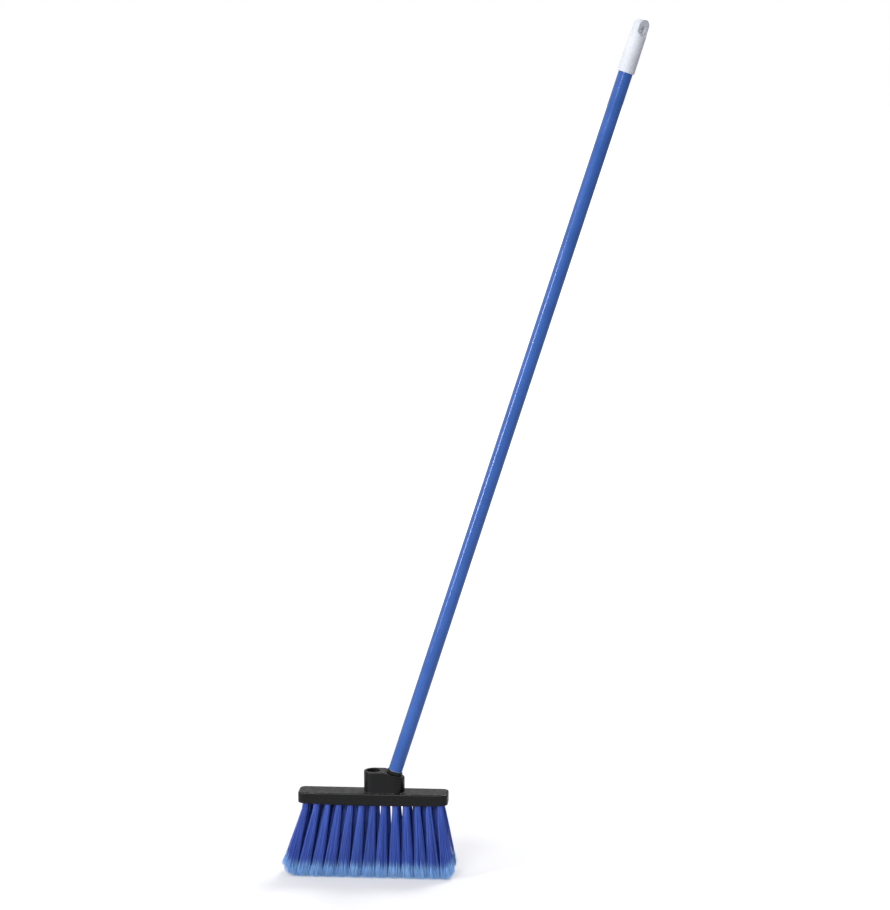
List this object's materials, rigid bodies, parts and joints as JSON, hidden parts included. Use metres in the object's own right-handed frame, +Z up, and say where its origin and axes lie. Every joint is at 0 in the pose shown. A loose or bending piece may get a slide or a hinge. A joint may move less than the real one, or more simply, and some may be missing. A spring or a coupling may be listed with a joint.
{
  "type": "upright broom",
  "caption": "Upright angle broom: black block with flared blue bristles, a boss with one straight and one angled threaded socket, and a long blue handle with a white hang-up cap",
  "frame": {"origin": "On the floor under the middle of the block, in the plane that the bristle tips rest on", "axes": "X along the block with the handle leaning towards +X, Y across the block, Z up"},
  "size_m": [0.5341, 0.057, 1.2955],
  "materials": {
    "head_plastic": "satin",
    "bristle_fibre": "satin",
    "staple_wire": "satin",
    "tip_plastic": "satin",
    "tube_steel": "satin",
    "sleeve_plastic": "gloss",
    "cap_plastic": "satin"
  },
  "bodies": {
    "head": {"head_block": "head_plastic", "tuft_staples": "staple_wire", "bristle_tuft_front_01": "bristle_fibre", "bristle_tuft_front_02": "bristle_fibre", "bristle_tuft_front_03": "bristle_fibre", "bristle_tuft_front_04": "bristle_fibre", "bristle_tuft_front_05": "bristle_fibre", "bristle_tuft_front_06": "bristle_fibre", "bristle_tuft_front_07": "bristle_fibre", "bristle_tuft_front_08": "bristle_fibre", "bristle_tuft_front_09": "bristle_fibre", "bristle_tuft_front_10": "bristle_fibre", "bristle_tuft_front_11": "bristle_fibre", "bristle_tuft_front_12": "bristle_fibre", "bristle_tuft_front_13": "bristle_fibre", "bristle_tuft_middle_01": "bristle_fibre", "bristle_tuft_middle_02": "bristle_fibre", "bristle_tuft_middle_03": "bristle_fibre", "bristle_tuft_middle_04": "bristle_fibre", "bristle_tuft_middle_05": "bristle_fibre", "bristle_tuft_middle_06": "bristle_fibre", "bristle_tuft_middle_07": "bristle_fibre", "bristle_tuft_middle_08": "bristle_fibre", "bristle_tuft_middle_09": "bristle_fibre", "bristle_tuft_middle_10": "bristle_fibre", "bristle_tuft_middle_11": "bristle_fibre", "bristle_tuft_middle_12": "bristle_fibre", "bristle_tuft_middle_13": "bristle_fibre", "bristle_tuft_middle_14": "bristle_fibre", "bristle_tuft_back_01": "bristle_fibre", "bristle_tuft_back_02": "bristle_fibre", "bristle_tuft_back_03": "bristle_fibre", "bristle_tuft_back_04": "bristle_fibre", "bristle_tuft_back_05": "bristle_fibre", "bristle_tuft_back_06": "bristle_fibre", "bristle_tuft_back_07": "bristle_fibre", "bristle_tuft_back_08": "bristle_fibre", "bristle_tuft_back_09": "bristle_fibre", "bristle_tuft_back_10": "bristle_fibre", "bristle_tuft_back_11": "bristle_fibre", "bristle_tuft_back_12": "bristle_fibre", "bristle_tuft_back_13": "bristle_fibre"},
    "sleeve": {"handle_sleeve": "sleeve_plastic"},
    "handle": {"handle_tube": "tube_steel", "threaded_tip": "tip_plastic", "hang_cap": "cap_plastic"}
  },
  "joints": [
    {"name": "handle_rise", "type": "slide", "parent": "head", "child": "sleeve", "axis": [0.304, 0, 0.9527], "range_m": [0, 0.02794]},
    {"name": "handle_turn", "type": "hinge", "parent": "sleeve", "child": "handle", "pos_m": [0.03172, 0, 0.1576], "axis": [0.304, 0, 0.9527], "range_deg": [0, 1980]}
  ],
  "couplings": [
    {"joint": "handle_turn", "follows": "handle_rise", "rad_per_m": 1236.8}
  ]
}
